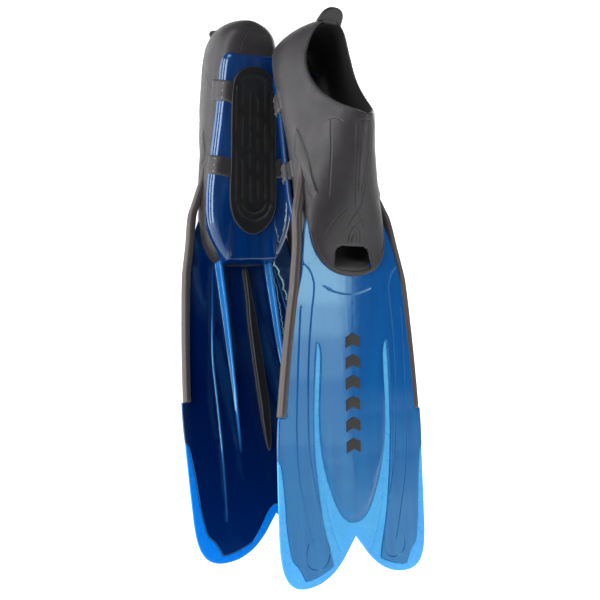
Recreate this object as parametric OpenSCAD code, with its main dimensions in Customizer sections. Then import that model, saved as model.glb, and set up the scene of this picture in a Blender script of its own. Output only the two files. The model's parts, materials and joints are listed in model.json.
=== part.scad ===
// A pair of full-foot swim fins, held upright with the blades down.
// Each fin is drawn once and placed twice, as the right and the left fin.
// Foot frame: x across the foot, y from heel to toe, z up from the sole.
// Blade frame: x across the blade, y from the toes to the tip, z on the instep side.

/* [Foot pocket] */
// Length from the heel to the toe welt
pocket_len = 270; // [255:1:285]
// Widest part of the pocket
pocket_w = 100; // [92:1:108]
// Height of the instep at the ankle opening
instep_h = 101; // [94:1:106]
// Height of the ankle opening's rim at the heel
heel_h = 80; // [74:1:84]
// Rubber thickness of the pocket
wall = 3; // [2.5:0.1:3.5]

/* [Tray under the foot] */
// Widest part of the tray
tray_w = 101; // [94:1:106]
// Height of the tray's side rails
tray_h = 14; // [12:0.5:16]
// Thickness of the rubber pad on the tray
pad_t = 2; // [1.5:0.1:2.5]

/* [Blade] */
// Length from the toe welt to the tip of the lobes
blade_len = 304; // [290:1:320]
// Full width of the blade
blade_w = 190; // [180:1:200]
// Thickness of the blade
blade_t = 3; // [2.5:0.1:3.5]
// Angle between the blade and the sole
blade_angle = 17.5; // [15:0.5:19]

/* [Side rails] */
// Width of a rubber side rail
rail_w = 8.5; // [7:0.5:10]
// Height of a rubber side rail
rail_h = 10; // [9:0.5:10]

/* [Bend at the blade's root] */
// Distance of the bending axis from the toe welt
bend_y = 12.5; // [12:0.5:14]
// Radius of the rails' rolling joint at the bending axis
bend_r = 5.2; // [5:0.1:5.4]
// Gap between the parts that move against each other
gap = 0.4; // [0.3:0.1:0.6]

/* [Placing of the pair] */
// Turn of the right fin about its length
right_turn = 38; // [0:1:60]
// Turn of the left fin about its length
left_turn = 30; // [0:1:60]
// Sideways distance from the right fin to the left fin
pair_x = -89; // [-110:1:-89]
// Distance of the left fin behind the right fin
pair_y = 58; // [58:1:90]

/* [Hidden] */
$fn = 48;
SIDES = ["right", "left"];
PARTS = ["foot_pocket", "insole", "heel_tab", "sole_pad", "foot_plate", "blade_root", "toe_welt",
    "heel_strap_outer", "heel_strap_inner", "ball_strap_outer", "ball_strap_inner",
    "rail_root_outer", "rail_root_inner", "edge_rail_outer", "edge_rail_inner",
    "blade_core", "flex_insert", "keel", "tongue_mark"];

// How the right and the left fin are turned, and where they are held
right_pose = [0, -1, right_turn];
left_pose = [-11, -2.7, left_turn];
left_place = [pair_x, pair_y, 13];
held_at = [0, 0.445 * pocket_len, 30];

// A half width and a depth that reach past the whole fin, for cuts
wide = 100;
deep = 60;

// Heights in the foot frame
floor_t = 4;
floor_top = pad_t + floor_t;
cavity_base = floor_top + wall;
insole_t = 2.5;
root_h = 25;
tray_wall = 7;
strap_t = 2;
strap_h = tray_h + 1;
rise_h = 22.5;

// Stations of the tray: its heel end, where its front wall starts, and where its rails rise
tray_back = 33;
tray_front_y = 256;
tray_rise_len = 62;
front_w = 58;
front_slope = 8;
front_t = 5;

// The straps run from beside the pad to past the tray's side
strap_in = 27;
strap_out = 80;

// Heights and lengths in the blade frame
blade_z = -2;
bend_z = -4;
blade_back = bend_y - bend_r - gap;
root_front = blade_back - 1.3;
rail_end = 0.45 * blade_len;
root_edge = -8;
wing_slope = 10;
welt_w = 5;
welt_h = 4;

// Heel tab: width, height, thickness, radius of its root and backward lean
tab_w = 30;
tab_h = 14;
tab_t = 3.6;
tab_r = 2;
tab_lean = 31;

// Pocket stations as [distance from the heel, size], for a foot of the driving size
pocket_plan = [[0, 14], [6, 24], [12, 29], [20, 32.5], [31, 35.5], [45, 38], [80, 40],
    [120, 41.5], [160, 45], [200, 50], [215, 50.5], [235, 48], [250, 43], [262, 33], [268, 22]];
pocket_top = [[0, 0.99], [60, 1.03], [125, 1], [160, 0.84], [200, 0.62], [243, 0.37],
    [262, 0.31], [268, 0.27]];
pocket_mid = [[0, 22], [60, 29], [120, 34], [200, 28], [262, 20]];
// How square the pocket's upper side is, from a soft ridge to a flat toe box
pocket_square = [[0, 1.75], [150, 1.65], [200, 2], [240, 3], [268, 3.4]];
tray_plan = [[33, 26], [36, 31], [62, 36], [90, 38.5], [143, 45.5], [175, 49.5], [196, 50.5],
    [215, 49.5], [232, 45], [246, 38], [256, 32]];
pad_plan = [[51, 6], [55, 16], [64, 23], [80, 26], [150, 27], [190, 28], [208, 24], [220, 15],
    [227, 4]];

// Rail centre line in the blade frame, from the pocket's side to the rail's end
rail_line = [[43, -118, -26], [45, -97, -23], [54, -72, -17], [58.5, -60, -14], [63, -30, -8.5],
    [69.5, 2, -4.5], [71, bend_y, bend_z], [73, 24, bend_z], [81, 80, bend_z],
    [87.6, rail_end, bend_z]];
rail_bend_i = 6;

function soft(x, table) = (lookup(x - 5, table) + 2 * lookup(x, table) + lookup(x + 5, table)) / 4;
function len_scale() = pocket_len / 270;
function blade_scale() = blade_len / 304;
function steps(from, to, n) = [for (i = [0:n]) from + (to - from) * i / n];
function reversed(list) = [for (i = [len(list) - 1:-1:0]) list[i]];
function mirrored(side) = concat(side, [for (p = reversed(side)) [-p.x, p.y]]);
function bezier(a, b, c, d, t) =
    a * pow(1 - t, 3) + 3 * b * t * pow(1 - t, 2) + 3 * c * t * t * (1 - t) + d * t * t * t;
function foot_to_blade(p) =
    let (y = p.y - pocket_len, z = p.z - root_h)
    [p.x, y * cos(blade_angle) - z * sin(blade_angle), y * sin(blade_angle) + z * cos(blade_angle)];

// Places blade-frame shapes as the right or the left fin of the pair
module place_fin(side) {
    right = side == "right";
    pose = right ? right_pose : left_pose;
    translate(right ? [0, 0, 0] : left_place)
        rotate([0, pose.y, 0]) rotate([0, 0, pose.z]) rotate([pose.x, 0, 0])
            rotate([0, 0, right ? 180 : 0]) rotate([-90, 0, 0])
                translate(-foot_to_blade(held_at)) children();
}

// Places foot-frame shapes in the blade frame
module in_foot_frame() {
    rotate([blade_angle, 0, 0]) translate([0, -pocket_len, -root_h]) children();
}

// Closed skin through rings that have the same number of points
module skin(rings) {
    n = len(rings[0]);
    last = len(rings) - 1;
    walls = [for (i = [0:last - 1]) for (j = [0:n - 1])
        [i * n + j, i * n + (j + 1) % n, (i + 1) * n + (j + 1) % n, (i + 1) * n + j]];
    ends = [[for (j = [n - 1:-1:0]) j], [for (j = [0:n - 1]) last * n + j]];
    polyhedron([for (r = rings) each r], concat(walls, ends), convexity = 8);
}

// Joins and cuts that are wanted as one smooth mesh
module as_mesh() {
    resize([0, 0, 0]) children();
}

// A profile in the foot's side view, extruded across the foot
module side_prism(points, width = 2 * wide) {
    rotate([90, 0, 90]) linear_extrude(width, center = true) polygon(points);
}

// ---- Tray, pad and straps under the foot ----

function tray_outline(grow) = mirrored([for (y = steps(tray_back - grow, tray_front_y + grow, 18))
    [(tray_w / 101) * soft(y, tray_plan) + grow, y * len_scale()]]);

// The hollow between the tray's side rails is open at the heel
function tray_hollow() = mirrored([for (y = steps(tray_back - 1, tray_front_y - tray_wall, 18))
    [(tray_w / 101) * soft(max(y, 40), tray_plan) - tray_wall, y * len_scale()]]);

// The side rails are level along the foot and rise beside the toes to the blade
module tray_shape() {
    toes = tray_front_y * len_scale();
    intersection() {
        difference() {
            linear_extrude(rise_h) polygon(tray_outline(0));
            translate([0, 0, floor_top]) linear_extrude(rise_h) polygon(tray_hollow());
        }
        side_prism([[0, pad_t], [toes, pad_t], [toes, rise_h], [toes - 10, rise_h],
            [toes - tray_rise_len, tray_h], [0, tray_h]]);
    }
}

// Sloping front wall of the tray, up to the blade's root
module tray_front() {
    front = tray_front_y * len_scale();
    side_prism([[front, pad_t], [front + front_slope, rise_h],
        [front + front_slope - front_t, rise_h], [front - front_t, floor_top],
        [front - front_t, pad_t]], front_w);
}

module foot_plate() {
    color("royalblue") in_foot_frame() difference() {
        foot_cover();
        pad_shape();
    }
}

module pad_shape() {
    linear_extrude(pad_t) polygon(mirrored([for (y = concat([51, 53, 55, 59], steps(64, 208, 8),
        [214, 220, 224, 227])) [lookup(y, pad_plan), y * len_scale()]]));
}

module sole_pad() {
    color("dimgray") in_foot_frame() pad_shape();
}

// Band round the tray between two stations, cut into an outer and an inner strap
module strap_band(y0, y1, slant, grow) {
    difference() {
        intersection() {
            linear_extrude(strap_h + grow) polygon(tray_outline(strap_t + grow));
            translate([0, 0, -1]) linear_extrude(tray_h * 2)
                polygon([[strap_in, y1 + slant], [strap_out, y1], [strap_out, y0],
                    [strap_in, y0 + slant]]);
        }
        translate([0, 0, pad_t]) linear_extrude(tray_h * 2) polygon(tray_outline(0));
        pad_shape();
    }
}

module strap(y0, y1, slant, outer) {
    color("dimgray") in_foot_frame() mirror([outer ? 0 : 1, 0, 0]) strap_band(y0, y1, slant, 0);
}

module heel_strap(outer) {
    strap(64, 82, 7, outer);
}

module ball_strap(outer) {
    strap(142, 159, 6, outer);
}

module insole_shape(grow) {
    linear_extrude(insole_t + grow) polygon(mirrored([for (y = steps(14, 246, 14))
        [soft(y, pocket_plan) * (pocket_w / 100) - 14 + grow, y * len_scale()]]));
}

module insole() {
    color("black") in_foot_frame() translate([0, 0, cavity_base]) insole_shape(0);
}

// ---- Foot pocket ----

// The heel leans forward towards the rim
function heel_lean(z, y) = 0.0045 * pow(z - 32, 2) * max(0, 1 - y / 120);

function pocket_ring(y, inset) =
    let (
        half = max(soft(y, pocket_plan) * pocket_w / 100 - inset, 0.6),
        top = soft(y, pocket_top) * instep_h - inset,
        mid = soft(y, pocket_mid),
        power = 2 / soft(y, pocket_square),
        base = pad_t + inset * 7 / 3)
    [for (k = [0:27]) let (a = 360 * k / 28, c = cos(a), s = sin(a),
        z = s >= 0 ? mid + (top - mid) * pow(s, power) : mid - (mid - base) * pow(-s, 0.75))
        [half * sign(c) * pow(abs(c), s < 0 ? 0.5 : power),
         (y + heel_lean(z, y)) * len_scale(), z]];

module pocket_body() {
    skin([for (y = concat([0, 2, 5, 9, 14, 20], steps(30, 240, 14), [248, 255, 261, 265, 268]))
        pocket_ring(y, 0)]);
}

module pocket_cavity() {
    skin([for (y = concat([4, 6, 9, 14, 20], steps(30, 240, 14), [248, 255, 260]))
        pocket_ring(y, wall)]);
}

// Everything above the rim of the ankle opening
module ankle_cut() {
    rim = [for (t = steps(0, 1, 14))
        bezier([-12, heel_h + 22], [34, 53], [74, 45], [128, instep_h + 3], t)];
    above = 2 * instep_h;
    side_prism(concat([for (p = rim) [p.x * len_scale(), p.y]],
        [[128 * len_scale(), above], [-deep, above], [-deep, heel_h + 22]]));
}

// Window that the toes look out of
module toe_cut() {
    translate([0, 0, cavity_base + 3]) linear_extrude(deep) polygon(mirrored([
        for (p = [[20, 243], [22, 246], [26, 255], [22, 260], [12, 263]]) [p.x, p.y * len_scale()]]));
}

module foot_pocket() {
    color("dimgray") as_mesh() difference() {
        in_foot_frame() difference() {
            pocket_body();
            pocket_cavity();
            ankle_cut();
            toe_cut();
            translate([0, 0, cavity_base]) insole_shape(0.1);
            translate([0, 0, -pad_t]) linear_extrude(pad_t + floor_top) polygon(tray_outline(0));
            difference() {
                linear_extrude(strap_h) polygon(tray_outline(strap_t));
                linear_extrude(strap_h * 2) polygon(tray_hollow());
            }
            foot_cover();
            toe_undercut();
            tab_axis() rotate([0, 90, 0]) cylinder(r = tab_r + gap, h = tab_w + 1, center = true);
        }
        root_shape();
        translate([-wide, root_edge, -deep]) cube([2 * wide, deep, deep + blade_z]);
        welt_shape();
    }
}

// Everything under the toes that lies ahead of the tray's sloping front wall
module toe_undercut() {
    front = tray_front_y * len_scale();
    side_prism([[front - front_t, -floor_top], [front - front_t, floor_top],
        [front + front_slope - front_t, rise_h], [front + deep, rise_h], [front + deep, -floor_top]]);
}

// ---- Heel tab, which bends back on its own thin root ----

module tab_axis() {
    translate([0, 9.5 * len_scale(), heel_h - 2]) children();
}

module heel_tab() {
    color("dimgray") in_foot_frame() tab_axis() {
        rotate([0, 90, 0]) cylinder(r = tab_r, h = tab_w, center = true);
        rotate([90 + tab_lean, 0, 0]) linear_extrude(tab_t, center = true) intersection() {
            scale([tab_w / (2 * tab_h), 1]) circle(r = tab_h);
            translate([-tab_w, 0]) square([2 * tab_w, 2 * tab_h]);
        }
    }
}

// ---- Blade's root beside and in front of the pocket ----

module flat_shape(points, z, t) {
    translate([0, 0, z - t / 2]) linear_extrude(t) polygon(points);
}

module root_shape() {
    flat_shape(mirrored([[66, root_front], [64.8, root_edge], [20, root_edge]]), blade_z, blade_t);
    translate([0, root_edge, 0]) rotate([wing_slope, 0, 0]) for (m = [0, 1]) mirror([m, 0, 0])
        flat_shape([[64.8, 0.3], [60, -22], [53, -52], [49, -52], [41, -22], [22, 0.3]],
            blade_z, blade_t);
}

module blade_root() {
    color("royalblue") difference() {
        root_shape();
        in_foot_frame() foot_cover();
    }
}

// Space taken by the tray, which the root and the rails go round
module foot_cover() {
    tray_shape();
    tray_front();
}

// Raised bead where the pocket meets the blade
function welt_line(grow) = [for (a = steps(-8, 188, 24))
    let (r = pow(pow(abs(cos(a)), 2.4) + pow(abs(sin(a)), 2.4), -1 / 2.4))
    [(46 + grow) * r * cos(a), -47 + (46 + grow) * r * sin(a)]];

module welt_shape() {
    flat_shape(concat(welt_line(welt_w / 2), reversed(welt_line(-welt_w / 2))),
        blade_z + (blade_t + welt_h) / 2, welt_h);
}

module toe_welt() {
    color("dimgray") welt_shape();
}

// ---- Side rails ----

function rail_ring(p) = [for (k = [0:11]) let (a = 30 * k, c = cos(a), s = sin(a))
    [p.x + rail_w / 2 * sign(c) * pow(abs(c), 0.6), p.y, p.z + rail_h / 2 * sign(s) * pow(abs(s), 0.8)]];

module rail_sweep(from, to) {
    skin([for (i = [from:to]) rail_ring(rail_line[i])]);
}

module bend_roller(r, width) {
    translate([rail_line[rail_bend_i].x, bend_y, bend_z]) rotate([0, 90, 0])
        cylinder(r = r, h = width, center = true);
}

// Room in the rail's root for the core's back corner, which turns with the blade
module corner_room() {
    translate([rail_line[rail_bend_i].x + 0.7 - 3 * rail_w, bend_y, bend_z]) rotate([0, 90, 0])
        cylinder(r = norm([bend_r + gap, bend_z - blade_z - blade_t / 2]) + gap, h = 3 * rail_w);
}

module rail_root(outer) {
    color("dimgray") mirror([outer ? 0 : 1, 0, 0]) as_mesh() difference() {
        rail_sweep(0, rail_bend_i);
        bend_roller(bend_r + gap, 3 * rail_w);
        corner_room();
        root_shape();
        in_foot_frame() foot_cover();
        in_foot_frame() pocket_body();
    }
}

module edge_rail(outer) {
    color("dimgray") mirror([outer ? 0 : 1, 0, 0]) as_mesh() difference() {
        rail_sweep(rail_bend_i, len(rail_line) - 1);
        bend_roller(bend_r, 2 * rail_w);
        core_shape();
    }
}

// ---- Blade ----

// Half outline of the whole blade, from its root to the notch between the lobes
blade_half = [[68, blade_back], [71, 24], [79, 80], [85.6, 137], [93, 137], [94.5, 180], [95, 250],
    [94, 272], [91.5, 286], [86, 297], [77, 303], [64, 304], [46, 301], [30, 293], [18, 282],
    [8, 270.5], [0, 260.5]];
// Half outline of the stiff core: side panel, channel and centre tongue
core_half = [[68, blade_back], [71, 24], [79, 80], [85.6, 137], [93, 137], [94.3, 179], [91, 186],
    [88, 215], [86, 245], [83, 264], [80.5, 275], [72, 285], [66.5, 296], [49, 293], [31, 286],
    [34, 272], [41, 245], [45.5, 215], [49, 188], [50, 160], [50, 135], [49, 112], [48.4, 90],
    [46.5, 70], [45, 67], [43.5, 70], [41.3, 79], [42, 100], [43.5, 130], [43, 160], [38, 188],
    [29, 215], [19, 236], [10, 244], [0, 247]];

function blade_points(half) = [for (p = half)
    [p.x * blade_w / 190, p.y < 30 ? p.y : p.y * blade_scale()]];

module core_shape() {
    flat_shape(mirrored(blade_points(core_half)), blade_z, blade_t);
}

// Stiffening rib on the sole side, through points, with its depth at each end
module rib(points, width, depth) {
    for (i = [0:len(points) - 2]) {
        a = points[i];
        b = points[i + 1];
        dir = atan2(b.y - a.y, b.x - a.x);
        translate([a.x, a.y, blade_z - blade_t / 2]) rotate([0, 0, dir]) rotate([90, 0, 0])
            linear_extrude(width, center = true)
                polygon([[0, 0.5], [norm(b - a), 0.5], [norm(b - a), -depth[i + 1]], [0, -depth[i]]]);
    }
}

module blade_core() {
    color("royalblue") {
        core_shape();
        for (m = [0, 1]) mirror([m, 0, 0]) {
            bend_roller(bend_r, rail_w);
            rib([[30.5, blade_back + 4], [30.5, 100], [33, 195]], 5, [6, 5, 1]);
            rib([[40, blade_back + 3], [52.5, 100], [58, 262]], 2, [2, 2, 1]);
        }
    }
}

module flex_insert() {
    color("skyblue") difference() {
        flat_shape(mirrored(blade_points(blade_half)), blade_z, blade_t);
        translate([0, 0, blade_z - blade_t]) linear_extrude(2 * blade_t)
            polygon(mirrored(blade_points(core_half)));
    }
}

module keel() {
    depth = 5.5;
    color("black") translate([0, 0, blade_z - blade_t / 2 - depth]) linear_extrude(depth)
        polygon(mirrored([[2.5, blade_back + 3], [3, 30], [6, 55], [6, 150], [4, 190], [1, 200]]));
}

// Plain slanted bars down the tongue
module tongue_mark() {
    bar = 15;
    first = 58;
    pitch = 21;
    color("black") for (i = [0:5])
        translate([0, first + pitch * i, blade_z + blade_t / 2]) linear_extrude(0.9)
            polygon([[-9, 4], [0, 0], [9, 4], [9, bar], [0, bar - 4], [-9, bar]]);
}

for (side = SIDES) place_fin(side) {
    foot_pocket();
    insole();
    heel_tab();
    sole_pad();
    foot_plate();
    blade_root();
    toe_welt();
    heel_strap(true);
    heel_strap(false);
    ball_strap(true);
    ball_strap(false);
    rail_root(true);
    rail_root(false);
    edge_rail(true);
    edge_rail(false);
    blade_core();
    flex_insert();
    keel();
    tongue_mark();
}
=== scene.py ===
"""The looks of a pair of full-foot swim fins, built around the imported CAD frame.

Each fin has two sets of local axes, in millimetres. The foot's are u across, v from heel to toe and w up
from the sole. The blade's are u across, t from the toes to the tip and n towards the instep side.
"""

import json
import math

import bmesh
import bpy
import numpy as np
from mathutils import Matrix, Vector, kdtree
from mathutils.geometry import delaunay_2d_cdt


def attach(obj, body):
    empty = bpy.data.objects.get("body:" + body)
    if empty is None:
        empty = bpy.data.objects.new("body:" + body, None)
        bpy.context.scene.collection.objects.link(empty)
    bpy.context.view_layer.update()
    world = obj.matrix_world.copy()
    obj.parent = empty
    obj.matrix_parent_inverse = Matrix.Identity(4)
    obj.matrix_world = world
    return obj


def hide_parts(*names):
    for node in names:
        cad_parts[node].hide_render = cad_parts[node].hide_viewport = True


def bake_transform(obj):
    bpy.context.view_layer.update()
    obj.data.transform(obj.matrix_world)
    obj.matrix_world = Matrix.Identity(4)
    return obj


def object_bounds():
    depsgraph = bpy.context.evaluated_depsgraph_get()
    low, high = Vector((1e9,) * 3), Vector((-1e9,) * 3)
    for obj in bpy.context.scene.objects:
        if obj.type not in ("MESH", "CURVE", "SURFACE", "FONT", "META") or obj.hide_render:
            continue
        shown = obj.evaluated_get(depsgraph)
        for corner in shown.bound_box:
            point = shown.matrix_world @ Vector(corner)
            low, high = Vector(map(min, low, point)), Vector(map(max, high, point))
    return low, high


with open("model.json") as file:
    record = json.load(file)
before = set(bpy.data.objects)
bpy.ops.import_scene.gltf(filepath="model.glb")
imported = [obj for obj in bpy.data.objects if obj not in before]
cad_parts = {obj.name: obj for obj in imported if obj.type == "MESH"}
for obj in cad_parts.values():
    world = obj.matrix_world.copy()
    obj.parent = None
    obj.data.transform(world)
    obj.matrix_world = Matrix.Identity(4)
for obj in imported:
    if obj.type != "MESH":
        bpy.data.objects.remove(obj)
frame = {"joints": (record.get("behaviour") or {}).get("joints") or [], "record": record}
CAD_BOX = [list(corner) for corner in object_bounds()]

MM = 0.001
SIDES = ("right", "left")

# Where the frame's mounts and hinges lie on a fin, in millimetres
PAD_V = 140
BEND_T, BEND_N = 12.5, -4
BLADE_ANGLE = math.radians(17.5)

# The blade flexes between these two stations
FLEX_START, FLEX_END = 0, 150


# ---- The fin's own axes ----

class Fin:
    """Turns a fin's local millimetres into metres in the row frame."""

    def __init__(self, side):
        mounts = {m["name"]: m for m in frame["record"]["mounts"]}
        hinge = next(j for j in frame["joints"] if j["name"] == side + "_blade_flex")
        pad = mounts[side + "_sole_pad"]
        u = np.array(hinge["axis"]) * (1 if side == "right" else -1)
        v = -np.array(mounts[side + "_foot_pocket"]["axis"])
        w = -np.array(pad["axis"])
        t = v * math.cos(BLADE_ANGLE) - w * math.sin(BLADE_ANGLE)
        n = v * math.sin(BLADE_ANGLE) + w * math.cos(BLADE_ANGLE)
        self.side = side
        self.foot_axes = np.array([u, v, w])
        self.blade_axes = np.array([u, t, n])
        self.heel = np.array(pad["pos_m"]) - PAD_V * MM * v
        self.toes = np.array(hinge["pos_m"]) - MM * (BEND_T * t + BEND_N * n)

    def foot(self, points):
        return self.heel + MM * np.reshape(points, (-1, 3)) @ self.foot_axes

    def blade(self, points):
        return self.toes + MM * np.reshape(points, (-1, 3)) @ self.blade_axes


# ---- Lines and outlines ----

# A guard line of points lies this far inside a rounded edge, which keeps the flat beyond it flat
GUARD = 0.6


def smooth_line(points, spacing):
    """An evenly spaced smooth line through the points."""
    p = np.array(points, float)
    run = np.concatenate([[0], np.cumsum(np.linalg.norm(np.diff(p, axis=0), axis=1))])
    if len(p) == 2:
        slope = np.repeat((p[1] - p[0])[None] / run[1], 2, axis=0)
    else:
        inner = (p[2:] - p[:-2]) / (run[2:] - run[:-2])[:, None]
        first = 2 * (p[1] - p[0]) / run[1] - inner[0]
        last = 2 * (p[-1] - p[-2]) / (run[-1] - run[-2]) - inner[-1]
        slope = np.vstack([first, inner, last])
    count = max(2, int(round(run[-1] / spacing)) + 1)
    at = np.linspace(0, run[-1], count)
    i = np.clip(np.searchsorted(run, at, side="right") - 1, 0, len(p) - 2)
    span = (run[i + 1] - run[i])[:, None]
    x = (at - run[i])[:, None] / span
    return (
        p[i] * (1 + 2 * x) * (1 - x) ** 2
        + p[i + 1] * x * x * (3 - 2 * x)
        + slope[i] * span * x * (1 - x) ** 2
        + slope[i + 1] * span * x * x * (x - 1)
    )


def joined(*lines):
    """Lines end to end, without the points that they share."""
    out = [lines[0]]
    for line in lines[1:]:
        shared = np.linalg.norm(line[0] - out[-1][-1]) < 1e-6
        out.append(line[1:] if shared else line)
    return np.vstack(out)


def mirrored(half):
    """Closed outline from a half outline that starts and ends on the middle line."""
    other = half[::-1] * [-1, 1]
    start = 1 if abs(half[-1][0]) < 1e-6 else 0
    stop = len(other) - 1 if abs(half[0][0]) < 1e-6 else len(other)
    return np.vstack([half, other[start:stop]])


def flipped(line):
    """The line's mirror image."""
    return line * [-1, 1]


def to_side(outer):
    """Turns points of the outer half into points of the chosen half."""
    return lambda points: points * [1 if outer else -1, 1, 1]


def both(*lines):
    """Lines and their mirror images."""
    return [side for line in lines for side in (line, flipped(line))]


def offset(line, distance):
    """The line moved sideways."""
    along = np.gradient(line, axis=0)
    along /= np.linalg.norm(along, axis=1)[:, None] + 1e-9
    return line + distance * np.column_stack([-along[:, 1], along[:, 0]])


def beside(line, offsets):
    """Points beside a line, for a surface that changes across it."""
    return np.vstack([offset(line, d) for d in offsets])


def distance(points, line, closed=False):
    """How far each point lies from a line, and how far along it as a share of its length."""
    ends = np.vstack([line, line[:1]]) if closed else line
    lengths = np.linalg.norm(np.diff(ends, axis=0), axis=1)
    before = np.concatenate([[0], np.cumsum(lengths)])
    best = np.full(len(points), 1e9)
    share = np.zeros(len(points))
    for i, (a, b) in enumerate(zip(ends[:-1], ends[1:])):
        d = b - a
        x = np.clip((points - a) @ d / (d @ d + 1e-12), 0, 1)
        gap = np.linalg.norm(points - a - x[:, None] * d, axis=1)
        nearer = gap < best
        best[nearer] = gap[nearer]
        share[nearer] = (before[i] + x[nearer] * lengths[i]) / before[-1]
    return best, share


def inside(points, ring):
    """Whether each point lies inside a closed outline."""
    x, y = points[:, 0], points[:, 1]
    hit = np.zeros(len(points), bool)
    for (ax, ay), (bx, by) in zip(ring, np.roll(ring, -1, axis=0)):
        if ay == by:
            continue
        crosses = (ay > y) != (by > y)
        hit ^= crosses & (x < (bx - ax) * (y - ay) / (by - ay) + ax)
    return hit


def between(points, rings):
    """Whether each point lies inside the first outline and outside its holes."""
    keep = inside(points, rings[0])
    for hole in rings[1:]:
        keep &= ~inside(points, hole)
    return keep


def fill(rings, near, step):
    """Points and triangles that fill an outline round its holes and follow the given lines."""
    fixed = np.vstack(rings)
    within = np.vstack(near) if near else np.zeros((0, 2))
    if len(within):
        within = within[between(within, rings)]
    lo, hi = rings[0].min(0), rings[0].max(0)
    rows = np.arange(lo[1] + step / 2, hi[1], step * 0.87)
    grid = np.array([(x + (i % 2) * step / 2, y) for i, y in enumerate(rows)
                     for x in np.arange(lo[0], hi[0], step)])
    grid = grid[between(grid, rings)]
    tree = kdtree.KDTree(len(fixed) + len(within))
    for i, p in enumerate(np.vstack([fixed, within])):
        tree.insert((p[0], p[1], 0), i)
    tree.balance()
    clear = [tree.find((x, y, 0))[2] > 0.62 * step for x, y in grid]
    grid = grid[np.array(clear, bool)]
    points = [Vector(p) for p in np.vstack([fixed, within, grid])]
    edges, start = [], 0
    for ring in rings:
        n = len(ring)
        edges += [(start + i, start + (i + 1) % n) for i in range(n)]
        start += n
    out, _, faces, *_ = delaunay_2d_cdt(points, edges, [], 0, 1e-5)
    flat = np.array([tuple(p) for p in out])
    tris = np.array([f for f in faces if len(f) == 3])
    tris = tris[between(flat[tris].mean(axis=1), rings)]
    used = np.unique(tris)
    index = np.full(len(flat), -1)
    index[used] = np.arange(len(used))
    return flat[used], index[tris]


def fill_plate(ring, near, step):
    """Points and triangles that fill an outline, and each point's distance from its edge."""
    flat, tris = fill([ring], near, step)
    return flat, tris, distance(flat, ring, closed=True)[0]


def rounding(d, r):
    """How far a surface drops at a distance d from its edge, with an edge radius r."""
    x = 1 - np.clip(d / r, 0, 1)
    return r * (1 - np.sqrt(1 - x * x))


def inward(ring, steps):
    """Closed outlines inside a ring, or outside it where a step is negative."""
    closed = np.vstack([ring[-1:], ring, ring[:1]])
    turn = 1 if area(ring) > 0 else -1
    return [offset(closed, turn * step)[1:-1] for step in steps]


def edge_lines(ring, r):
    """Points just inside an outline, where its rounded edge bends."""
    steps = [r * (1 - math.cos(math.radians(a))) for a in (30, 60, 90)] + [r + GUARD]
    return inward(ring, steps)


def area(ring):
    """Area in a closed outline, negative if it runs clockwise."""
    x, y = ring[:, 0], ring[:, 1]
    return 0.5 * np.sum(x * np.roll(y, -1) - np.roll(x, -1) * y)


# ---- Meshes ----

def make(name, points, faces, local, material):
    """A smooth mesh. Its attribute "place" holds the local millimetres, which the materials use."""
    mesh = bpy.data.meshes.new(name)
    mesh.from_pydata(np.asarray(points).tolist(), [], np.asarray(faces).tolist()
                     if isinstance(faces, np.ndarray) else faces)
    place = mesh.attributes.new("place", "FLOAT_VECTOR", "POINT")
    place.data.foreach_set("vector", np.asarray(local, np.float32).ravel())
    bm = bmesh.new()
    bm.from_mesh(mesh)
    bmesh.ops.remove_doubles(bm, verts=bm.verts, dist=2e-5)
    bmesh.ops.dissolve_degenerate(bm, edges=bm.edges, dist=1e-6)
    bmesh.ops.recalc_face_normals(bm, faces=bm.faces)
    bm.to_mesh(mesh)
    bm.free()
    mesh.shade_smooth()
    mesh.materials.append(material)
    obj = bpy.data.objects.new(name, mesh)
    bpy.context.scene.collection.objects.link(obj)
    return obj


def shell_faces(tris, n, start):
    """Faces of a closed solid between an upper surface and a lower one, of n points each."""
    upper = (tris + start).tolist()
    edges = {e for a, b, c in upper for e in ((a, b), (b, c), (c, a))}
    border = [(a, b) for a, b in sorted(edges) if (b, a) not in edges]
    lower = [[c + n, b + n, a + n] for a, b, c in upper]
    return upper + lower + [[b, a, a + n, b + n] for a, b in border]


def shell(name, tris, upper, lower, place, material, local=None):
    """Closed solid between two surfaces with the same triangles."""
    faces = shell_faces(tris, len(upper), 0)
    both_sides = np.vstack([upper, lower])
    where = both_sides if local is None else local(both_sides)
    return make(name, place(both_sides), faces, where, material)


def plate(name, tris, flat, upper, lower, place, material, local=None):
    """Closed solid between two heights over the same flat points."""
    faces = (np.column_stack([flat, heights]) for heights in (upper, lower))
    return shell(name, tris, *faces, place, material, local)


def sweep(name, centres, ring, place, material, local=None):
    """Closed solid swept through rings. ring(i) gives the i-th ring's points about its centre."""
    rings = [np.asarray(c) + ring(i) for i, c in enumerate(centres)]
    n = len(rings[0])
    points = np.vstack(rings)
    faces = [[i * n + j, i * n + (j + 1) % n, (i + 1) * n + (j + 1) % n, (i + 1) * n + j]
             for i in range(len(rings) - 1) for j in range(n)]
    faces += [list(range(n - 1, -1, -1)), [(len(rings) - 1) * n + j for j in range(n)]]
    where = points if local is None else local(points)
    return make(name, place(points), faces, where, material)


# ---- Materials ----

def srgb(r, g, b):
    """Linear colour from 0 to 255 screen values."""
    def linear(c):
        c /= 255
        return c / 12.92 if c <= 0.04045 else ((c + 0.055) / 1.055) ** 2.4
    return linear(r), linear(g), linear(b), 1


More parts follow.
